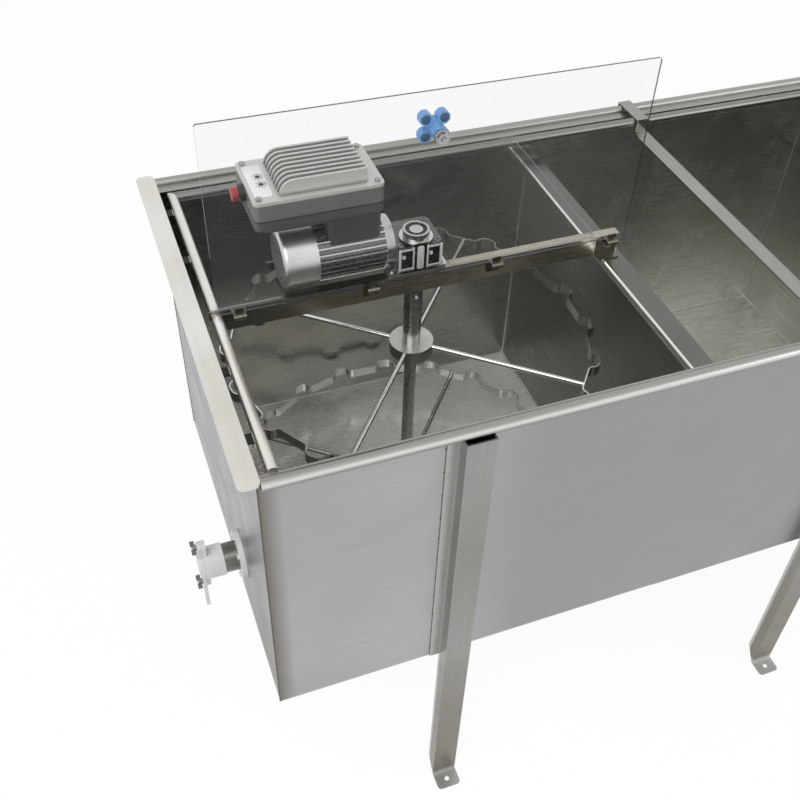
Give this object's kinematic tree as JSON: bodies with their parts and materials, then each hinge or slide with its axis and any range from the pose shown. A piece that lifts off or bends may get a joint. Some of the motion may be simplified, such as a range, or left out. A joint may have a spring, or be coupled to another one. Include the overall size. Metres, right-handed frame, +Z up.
{
  "type": "uncapping tank",
  "caption": "Long stainless honey tank on folded legs with a motor-driven frame reel, clear splash lid, frame rest bar and a swinging honey gate.",
  "frame": {"origin": "on the ground, midway between the four foot holes", "axes": "+X along the tank towards the uncapping end, +Y from the front wall to the back wall, +Z up"},
  "size_m": [1.7296, 0.944, 1.516],
  "materials": {
    "stainless": "brushed stainless sheet",
    "bright_steel": "satin stainless",
    "leg_steel": "brushed folded sheet",
    "beam_steel": "satin folded sheet",
    "bracket_steel": "dull zinc plate",
    "fastener": "bright zinc",
    "cast_aluminium": "die cast, as cast",
    "polished": "polished cover",
    "bronze": "machined bronze",
    "hard_steel": "ground steel",
    "copper": "varnished winding",
    "inverter_grey": "warm grey painted casting",
    "board_green": "circuit board",
    "black_plastic": "moulded black",
    "red_plastic": "moulded red",
    "clear_sheet": "clear plastic sheet",
    "blue_plastic": "moulded light blue",
    "white_plastic": "moulded white"
  },
  "bodies": {
    "tank": {"floor_panel": "stainless", "front_panel": "stainless", "back_panel": "stainless", "left_panel": "stainless", "right_panel": "stainless", "front_rim": "bright_steel", "back_rim": "bright_steel", "left_flange": "bright_steel", "right_flange": "bright_steel", "back_ledge": "bright_steel", "left_ledge": "bright_steel", "right_ledge": "bright_steel", "divider_panel": "stainless", "divider_cap": "bright_steel", "leg_front_left": "leg_steel", "leg_front_right": "leg_steel", "leg_back_left": "leg_steel", "leg_back_right": "leg_steel", "drive_beam": "beam_steel", "beam_brackets": "bracket_steel", "drive_fasteners": "fastener", "motor_plate": "bright_steel", "gear_housing": "cast_aluminium", "gear_cover": "cast_aluminium", "shaft_seal": "black_plastic", "drive_bearings": "hard_steel", "motor_body": "cast_aluminium", "end_shield": "cast_aluminium", "fan_cover": "polished", "stator": "copper", "inverter_base": "inverter_grey", "inverter_cover": "inverter_grey", "inverter_board": "board_green", "button_collar": "black_plastic", "bottom_bearing": "hard_steel", "rear_cover": "clear_sheet", "hinge_brackets": "bracket_steel", "valve_flange": "white_plastic", "valve_nipple": "hard_steel", "valve_body": "white_plastic", "lid_switch": "black_plastic"},
    "reel": {"reel_shaft": "bright_steel", "shaft_sleeve": "bright_steel", "reel_hubs": "bright_steel", "upper_ring": "bright_steel", "lower_ring": "bright_steel", "reel_spokes": "bright_steel", "worm_wheel": "bronze"},
    "motor_rotor": {"rotor": "hard_steel", "worm": "hard_steel", "cooling_fan": "black_plastic"},
    "lid": {"lid_sheet": "clear_sheet", "hinge_straps": "bracket_steel"},
    "knob": {"lid_knob": "blue_plastic", "knob_stud": "fastener"},
    "button": {"stop_button": "red_plastic"},
    "rest_bar": {"frame_rest": "bright_steel"},
    "gate": {"gate_plate": "white_plastic"},
    "upper_wing_nut": {"pivot_nut": "fastener"},
    "lower_wing_nut": {"lock_nut": "fastener"}
  },
  "joints": [
    {"name": "reel_spin", "type": "hinge", "parent": "tank", "child": "reel", "pos_m": [-0.398, 0, 0.6], "axis": [0, 0, 1], "continuous": true},
    {"name": "motor_spin", "type": "hinge", "parent": "tank", "child": "motor_rotor", "pos_m": [-0.5, 0.031, 1.2], "axis": [1, 0, 0], "continuous": true},
    {"name": "lid_hinge", "type": "hinge", "parent": "tank", "child": "lid", "pos_m": [-0.37, -0.037, 1.1443], "axis": [1, 0, 0], "range_deg": [0, 90]},
    {"name": "knob_turn", "type": "hinge", "parent": "lid", "child": "knob", "pos_m": [-0.3735, -0.03, 1.432], "axis": [0, 1, 0], "continuous": true},
    {"name": "button_push", "type": "slide", "parent": "tank", "child": "button", "axis": [1, 0, 0], "range_m": [0, 0.004], "stiffness_N_per_m": 800},
    {"name": "rest_slide", "type": "slide", "parent": "tank", "child": "rest_bar", "axis": [1, 0, 0], "range_m": [-0.23, 0.44]},
    {"name": "gate_swing", "type": "hinge", "parent": "tank", "child": "gate", "pos_m": [-0.885, -0.138, 0.681], "axis": [-1, 0, 0], "range_deg": [0, 85]},
    {"name": "pivot_nut_turn", "type": "hinge", "parent": "tank", "child": "upper_wing_nut", "pos_m": [-0.885, -0.138, 0.681], "axis": [1, 0, 0], "continuous": true},
    {"name": "lock_nut_turn", "type": "hinge", "parent": "tank", "child": "lower_wing_nut", "pos_m": [-0.885, -0.138, 0.571], "axis": [1, 0, 0], "continuous": true}
  ],
  "couplings": [
    {"joint": "motor_spin", "follows": "reel_spin", "ratio": 30}
  ]
}
